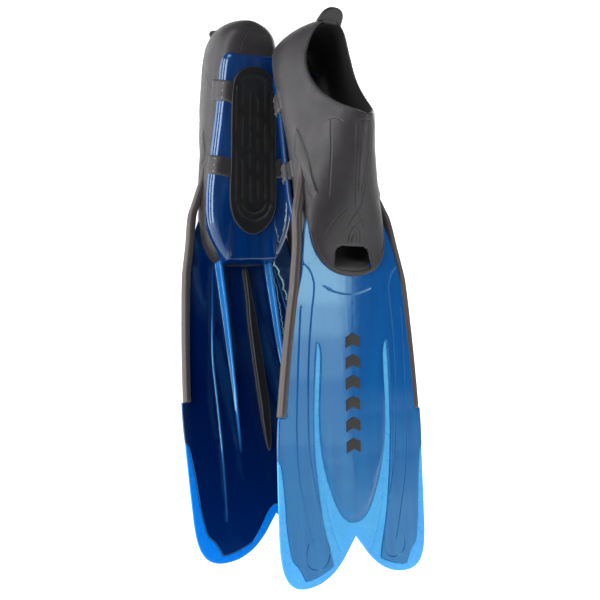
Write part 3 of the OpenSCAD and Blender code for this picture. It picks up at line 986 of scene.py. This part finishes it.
def foot_tray(fin):
    ring = mirrored(smooth_line(TRAY, 2))
    steps = [RAIL_ROUND * (1 - math.cos(math.radians(a))) for a in (12, 24, 36, 48, 60, 72, 84)]
    near = inward(ring, steps + [RAIL_INSET + GUARD])
    near += [np.array([(u, v) for u in np.arange(-30, 31, 3.0)]) for v in (254, 258, 262)]
    near += [beside(line, (-2, -1, 0, 1, 2)) for line in both(smooth_line(TRAY_RIB, 3))]
    flat, tris, d = fill_plate(ring, near, 4)
    rise = tray_rise(flat[:, 1])
    under = tray_under(flat, d)
    wall_top = rise - rounding(d, 2)
    over = np.where(d > RAIL_INSET, FLOOR_W, wall_top)
    heel_open = (flat[:, 1] < 41) & (np.abs(flat[:, 0]) < 27)
    over = np.where(heel_open, FLOOR_W - rounding(d, 2), over)
    over = np.maximum(over, under + 0.8)
    return plate(fin.side + "_tray", tris, flat, over, under, fin.foot, TRAY_BLUE)


# The pad's edge radius, the size of its ribs, and its half outline as (u, v)
PAD_EDGE = 1.2
PAD_RIB_WIDE, PAD_RIB_TALL = 1.5, 0.55
PAD = [(0, 50), (9, 51.5), (17, 56), (23, 64), (26, 80), (27, 150), (28, 190), (24.5, 208),
       (15.5, 220.5), (6, 226.5), (0, 227.5)]


def pad_relief(flat):
    """Raised contour lines and rows of short ribs on the pad's face."""
    out = np.zeros(len(flat))
    for line in pad_lines():
        out = np.maximum(out, groove(flat, line, PAD_RIB_WIDE, PAD_RIB_TALL))
    return out


def pad_lines():
    """Rows of short ribs along the pad, and arcs at its ends."""
    rows = []
    for u, stretches in ((4.5, ((84, 96), (104, 118), (126, 138), (150, 160), (170, 186))),
                         (-4.5, ((80, 92), (98, 112), (120, 134), (144, 156), (166, 190))),
                         (13, ((70, 96), (112, 138), (152, 186))),
                         (-13, ((66, 90), (106, 132), (150, 188))),
                         (20.5, ((76, 120), (140, 190))), (-20.5, ((72, 116), (140, 192)))):
        rows += [smooth_line([(u, a), (u * 1.02, b)], 2) for a, b in stretches]
    arcs = [smooth_line([(-19, 196), (-14, 206), (0, 212), (14, 206), (19, 196)], 2),
            smooth_line([(-13, 196), (-9, 201.5), (0, 204.5), (9, 201.5), (13, 196)], 2),
            smooth_line([(-16, 68), (-10, 61), (0, 58), (10, 61), (16, 68)], 2)]
    return rows + arcs


def sole_pad(fin):
    ring = mirrored(smooth_line(PAD, 2))
    near = edge_lines(ring, PAD_EDGE)
    near += [beside(line, (-0.8, -0.4, 0, 0.4, 0.8)) for line in pad_lines()]
    flat, tris, d = fill_plate(ring, near, 4)
    face = -0.2 + rounding(d, PAD_EDGE) - pad_relief(flat) * 0.9
    face += 0.3 * groove(flat, mirrored(smooth_line([(0, 54), (14, 60), (21, 72), (23.6, 110),
                                                     (24.6, 185), (20, 206), (0, 222)], 2)), 1.6, 1)
    back = np.full(len(flat), TRAY_W + 0.5)
    return plate(fin.side + "_pad", tris, flat, back, face, fin.foot, PAD_RUBBER)


# Stations of each strap's two edges where it ends on the pocket
STRAPS = {"heel": (64, 86), "ball": (143, 163)}
# How far a strap stands proud, how far it reaches up the pocket, how far along it moves towards
# the pad, and where it starts at the pad
STRAP_T = 1.5
STRAP_REACH = 9
STRAP_SLANT = 5
STRAP_IN = 24.5
# Points across and along a strap
STRAP_ROWS, STRAP_COLS = 13, 34
# A strap's shares of its length up to the side rail, and up to the rail's end
STRAP_FLAT, STRAP_BEND = 0.5, 0.85
# Where the studs lie, as shares of a strap's length and width
STUDS = [(0.66, 0.2), (0.66, 0.5), (0.66, 0.8)]


def pocket_half(v, w):
    """Half width of the pocket's lower side at a height."""
    plan = np.array(PLAN)
    base, mid = soft(v, BASE), soft(v, MID)
    s = np.clip((mid - w) / (mid - base), 0, 1) ** (1 / 0.75)
    return np.interp(v, plan[:, 1], plan[:, 0]) * (1 - s * s) ** 0.25


def strap(fin, name, v0, v1, slant, outer):
    """Flat strap from the pad's edge round the tray's side rail, with three small studs."""
    turned = to_side(outer)
    path_u = np.linspace(0, 1, STRAP_COLS)
    across_strap = np.linspace(0, 1, STRAP_ROWS)
    rows = []
    for k in across_strap:
        line = []
        for x in path_u:
            v = (v0 + (v1 - v0) * k) + slant * (1 - x)
            half = tray_half(v)
            if x < STRAP_FLAT:
                u = STRAP_IN + (half - RAIL_ROUND - STRAP_IN) * x / STRAP_FLAT
                p, normal = (u, v, TRAY_W), (0, 0, -1)
            elif x < STRAP_BEND:
                a = (x - STRAP_FLAT) / (STRAP_BEND - STRAP_FLAT) * math.pi / 2
                p = (half - RAIL_ROUND + RAIL_ROUND * math.sin(a), v,
                     TRAY_W + RAIL_ROUND * RAIL_STRETCH * (1 - math.cos(a)))
                normal = (math.sin(a), 0, -math.cos(a))
            else:
                up = (x - STRAP_BEND) / (1 - STRAP_BEND) * STRAP_REACH
                w = TRAY_W + RAIL_ROUND * RAIL_STRETCH + up
                p = (max(pocket_half(v, w), half if w < 14 else 0), v, w)
                normal = (0.96, 0, -0.28)
            line.append((p, normal))
        rows.append(line)
    upper, lower = [], []
    for i, k in enumerate(across_strap):
        for x, (p, normal) in zip(path_u, rows[i]):
            p, normal = np.array(p), np.array(normal)
            edge = min(k, 1 - k) * abs(v1 - v0)
            lift = STRAP_T * (1 - max(0, 1 - edge / 1.2) ** 2 * 0.8)
            lift *= min(1, (1 - x) / 0.08 + 0.05)
            upper.append(p + normal * lift)
            lower.append(p - normal * 0.6)
    n = STRAP_COLS
    tris = []
    for i in range(STRAP_ROWS - 1):
        for j in range(n - 1):
            a, b, c, e = i * n + j, i * n + j + 1, (i + 1) * n + j + 1, (i + 1) * n + j
            tris += [(a, b, c), (a, c, e)]
    obj = shell(fin.side + "_" + name, np.array(tris), np.array(upper), np.array(lower),
                lambda p: fin.foot(turned(p)), POCKET_RUBBER, turned)
    for s, (x, k) in enumerate(STUDS):
        i, j = int(round(k * (STRAP_ROWS - 1))), int(round(x * (n - 1)))
        p, normal = (np.array(q) for q in rows[i][j])
        across = np.cross(normal, [0, 1, 0])
        turns = np.linspace(0, 2 * np.pi, 15)[:-1]
        radii = ((0, 1.0), (STRAP_T + 0.05, 1.0), (STRAP_T + 0.3, 0.8), (STRAP_T + 0.4, 0.4))

        def ring(at, radii=radii, across=across):
            return radii[at][1] * (np.outer(np.cos(turns), across)
                                   + np.outer(np.sin(turns), [0, 1, 0]))

        centres = [p + normal * h for h, _ in radii]
        stud = sweep(f"{fin.side}_{name}_stud_{s + 1}", centres, ring,
                     lambda q: fin.foot(turned(q)), STUD, turned)
        stud.parent = obj
    return obj


# The footbed's faces, its edge radius, and the distance between its ribs
INSOLE_W = (9.2, 11.5)
INSOLE_EDGE = 0.8
INSOLE_PITCH = 12


def insole(fin):
    half = smooth_line([(0, 12), (9, 14), (16.5, 22), (21, 36), (25, 60), (27, 110), (31.5, 160),
                        (36, 200), (36, 222), (31, 240), (20, 246), (0, 248)], 2)
    ring = mirrored(half)
    rows = [smooth_line([(-60, v), (60, v)], 3) for v in range(24, 246, INSOLE_PITCH)]
    near = edge_lines(ring, INSOLE_EDGE)
    near += [beside(row[np.abs(row[:, 0]) < 40], (-1.2, 0, 1.2)) for row in rows]
    flat, tris, d = fill_plate(ring, near, 5)
    wave = 0.5 + 0.5 * np.cos(2 * np.pi * flat[:, 1] / INSOLE_PITCH)
    top = INSOLE_W[1] - rounding(d, INSOLE_EDGE) - 0.5 * wave ** 4 * np.clip(d / 6, 0, 1)
    low = np.full(len(flat), INSOLE_W[0])
    return plate(fin.side + "_insole_sheet", tris, flat, top, low, fin.foot, FOAM)


# ---- Heel tab and welt ----

# Where the tab bends, how far it leans back, half its thickness, and its edge radius
TAB_V, TAB_W, TAB_LEAN = 9.5, 78, math.radians(31)
TAB_HALF, TAB_EDGE = 1.9, 1.4


def heel_tab(fin):
    """Rounded pull tab with two raised lines."""
    half = smooth_line([(0, 14.3), (6.5, 13.4), (11.5, 9.8), (14.2, 4.5), (15.2, 0), (16.2, -3.5)], 1)
    half = np.vstack([half, [[8, -4.2], [0, -4.4]]])
    ring = mirrored(half)
    arcs = [smooth_line([(-r, 2), (-0.8 * r, 0.58 * r), (0, 0.84 * r), (0.8 * r, 0.58 * r), (r, 2)], 1)
            for r in (7, 11)]
    near = edge_lines(ring, TAB_EDGE) + [beside(a, (-0.7, 0, 0.7)) for a in arcs]
    flat, tris, d = fill_plate(ring, near, 1.6)
    thick = TAB_HALF - rounding(d, TAB_EDGE)
    relief = np.max([groove(flat, a, 1.4, 0.15) for a in arcs], axis=0)
    c, s = math.cos(TAB_LEAN), math.sin(TAB_LEAN)

    def lift(h):
        y = flat[:, 1]
        return np.column_stack([flat[:, 0], TAB_V - y * s + h * c, TAB_W + y * c + h * s])

    return shell(fin.side + "_pull_tab", tris, lift(thick + relief), lift(-thick - relief),
                 fin.foot, RAIL_BLACK)


# Where the welt is widest, its half width there, its reach to the toes' end, and the bead's radii
WELT_AT, WELT_HALF, WELT_REACH = -46, 46, 44
WELT_BEAD = (2.7, 1.9)


def toe_welt(fin):
    """Thin soft bead round the toes, where the pocket is moulded onto the blade."""
    turns = np.radians(np.arange(-34, 215, 4))
    power = 2.4
    r = (np.abs(np.cos(turns)) ** power + np.abs(np.sin(turns)) ** power) ** (-1 / power)
    line = np.column_stack([WELT_HALF * r * np.cos(turns), WELT_AT + WELT_REACH * r * np.sin(turns)])
    centres = np.column_stack([line, bow(line[:, 1]) + PANEL_N[1] + 0.8])
    along = np.gradient(line, axis=0)
    along /= np.linalg.norm(along, axis=1)[:, None]
    side = np.column_stack([-along[:, 1], along[:, 0], np.zeros(len(line))])
    around = np.linspace(0, 2 * np.pi, 17)[:-1]

    def ring(i):
        fade = min(1, 0.35 + 0.15 * min(i, len(centres) - 1 - i))
        return fade * (np.outer(np.cos(around) * WELT_BEAD[0], side[i])
                       + np.outer(np.sin(around) * WELT_BEAD[1], [0, 0, 1]))

    return sweep(fin.side + "_welt_bead", centres, ring, fin.blade, WELT_RUBBER)


# ---- Stage, light and camera ----

# Glow of the backdrop behind the fins, and the world's light on the fins and in the background
PAPER_GLOW = 0.72
FILL, BACKGROUND = 0.14, 0.95
LENS_MM = 69
CAMERA_AT = (-0.0252, -1.1864, -0.1969)
CAMERA_AIM = (-0.0252, -0.0318, -0.1687)


def stage_sheet():
    """Pale floor that sweeps up into a backdrop behind the fins."""
    floor_z = CAD_BOX[0][2] - 0.003
    near, back, bend, height = -2.4, 2.2, 1.0, 2.6
    profile = [(near, floor_z), (back - bend, floor_z)]
    profile += [(back - bend + bend * math.sin(a), floor_z + bend * (1 - math.cos(a)))
                for a in np.radians(np.arange(5, 91, 5))]
    profile += [(back, floor_z + height)]
    xs = (-3.2, 3.2)
    points = [(x, y, z) for y, z in profile for x in xs]
    faces = [[2 * i, 2 * i + 1, 2 * i + 3, 2 * i + 2] for i in range(len(profile) - 1)]
    s = Shader("pale_paper")
    s.set(Base_Color=s.ramp(s.noise(2, 2), (0.2, (0.9, 0.9, 0.9, 1)), (0.8, (0.94, 0.94, 0.94, 1))),
          Roughness=0.95)
    s.bsdf.inputs["Specular IOR Level"].default_value = 0
    s.bsdf.inputs["Emission Color"].default_value = (1, 1, 1, 1)
    at = s.add("SeparateXYZ", {"Vector": s.add("Attribute", attribute_name="place").outputs["Vector"]})
    s.set(Emission_Strength=s.range(at.outputs["Y"], -0.5, -0.1, 0.1, PAPER_GLOW))
    make("backdrop", points, faces, np.array(points), s.material)


# Softboxes as name, place, target, width, height in metres, and brightness
SOFTBOXES = [
    ("left_strip", (-0.8, -1.0, 0.0), (-0.08, 0.05, -0.1), 0.42, 1.3, 6.5),
    ("left_edge", (-1.2, -0.45, 0.1), (-0.08, 0.05, -0.1), 0.26, 1.2, 7),
    ("top_front", (-0.35, -0.9, 0.95), (0.0, 0.0, 0.0), 0.9, 0.5, 3),
    ("far_left", (-1.2, 0.25, 0.1), (-0.08, 0.05, -0.1), 0.5, 1.2, 3),
    ("back", (0.7, 1.5, 0.8), (0.0, 0.0, -0.15), 0.8, 0.8, 4),
]
# A panel on the right that the blades mirror: its place and width, and each step's top and brightness
PANEL_X, PANEL_Y, PANEL_WIDE = 1.0, -0.328, 0.186
PANEL_STEPS = [(0.5, 5.2), (-0.16, 3.6), (-0.22, 2.2), (-0.30, 1.4), (-0.40, 0.7), (-0.5, 0)]
for (top, bright), (low, _) in zip(PANEL_STEPS, PANEL_STEPS[1:]):
    middle = (top + low) / 2
    SOFTBOXES.append((f"blade_panel_{-low:.2f}", (PANEL_X, PANEL_Y, middle),
                      (0.0, PANEL_Y, middle), PANEL_WIDE, top - low, bright))


def lights():
    world = bpy.data.worlds.new("studio")
    bpy.context.scene.world = world
    world.use_nodes = True
    nodes, links = world.node_tree.nodes, world.node_tree.links
    background = nodes["Background"]
    background.inputs["Color"].default_value = (0.95, 0.97, 1, 1)
    path = nodes.new("ShaderNodeLightPath")
    strength = nodes.new("ShaderNodeMapRange")
    strength.inputs["To Min"].default_value = FILL
    strength.inputs["To Max"].default_value = BACKGROUND
    links.new(path.outputs["Is Camera Ray"], strength.inputs["Value"])
    links.new(strength.outputs["Result"], background.inputs["Strength"])
    for name, place, target, width, height, brightness in SOFTBOXES:
        data = bpy.data.lights.new(name, "AREA")
        data.shape = "RECTANGLE"
        data.size, data.size_y = width, height
        data.energy = brightness * math.pi * width * height
        light = bpy.data.objects.new(name, data)
        bpy.context.scene.collection.objects.link(light)
        light.location = place
        aim = Vector(target) - Vector(place)
        light.rotation_euler = aim.to_track_quat("-Z", "Y").to_euler()
        light.visible_camera = False
    bpy.context.scene.view_settings.view_transform = "Standard"


def camera():
    """The photograph's view: level with the blades, looking a little upward."""
    data = bpy.data.cameras.new("camera")
    data.lens = LENS_MM
    data.sensor_width = 36
    cam = bpy.data.objects.new("camera", data)
    bpy.context.scene.collection.objects.link(cam)
    cam.location = CAMERA_AT
    aim = Vector(CAMERA_AIM) - cam.location
    cam.rotation_euler = aim.to_track_quat("-Z", "Y").to_euler()
    bpy.context.scene.camera = cam


# ---- The fins ----

def build(side):
    """Makes one fin's pieces, hangs the foot's pieces on the foot, and hides the CAD parts that each
    piece replaces.
    """
    fin = Fin(side)
    foot, blade = side + "_foot", side + "_blade"
    start, end = (tuple(fin.blade([0, t, 0])[0]) for t in (FLEX_START, FLEX_END))

    def stand_for(obj, slot, *nodes):
        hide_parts(*[side + "_" + n for n in nodes])

    def flexing(obj, slot, *nodes):
        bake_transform(obj)
        stand_for(obj, slot, *nodes)

    def fixed(obj, slot, *nodes):
        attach(obj, foot)
        stand_for(obj, slot, *nodes)

    flexing(blade_skin(fin), "blade_plastic", "blade_root", "blade_core")
    flexing(flex_insert(fin), "flex_elastomer", "flex_insert")
    flexing(keel(fin), "rail_rubber", "keel")
    flexing(tongue_mark(fin), "mark_rubber", "tongue_mark")
    for outer, word in ((True, "outer"), (False, "inner")):
        flexing(rail(fin, outer), "rail_rubber", "rail_root_" + word, "edge_rail_" + word)
    fixed(foot_pocket(fin), "pocket_rubber", "foot_pocket")
    fixed(toe_welt(fin), "pocket_rubber", "toe_welt")
    fixed(foot_tray(fin), "blade_plastic", "foot_plate")
    fixed(sole_pad(fin), "pad_rubber", "sole_pad")
    fixed(insole(fin), "insole_foam", "insole")
    for outer, word in ((True, "outer"), (False, "inner")):
        for place, (v0, v1) in STRAPS.items():
            fixed(strap(fin, f"{place}_band_{word}", v0, v1, STRAP_SLANT, outer), "pocket_rubber",
                  f"{place}_strap_{word}")
    tab = heel_tab(fin)
    tuple(fin.foot([0, TAB_V, TAB_W - 3])[0])
    tuple(fin.foot([0, TAB_V - 4, TAB_W + 6])[0])
    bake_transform(tab)
    stand_for(tab, "pocket_rubber", "heel_tab")


camera()
lights()
stage_sheet()
for side in SIDES:
    build(side)
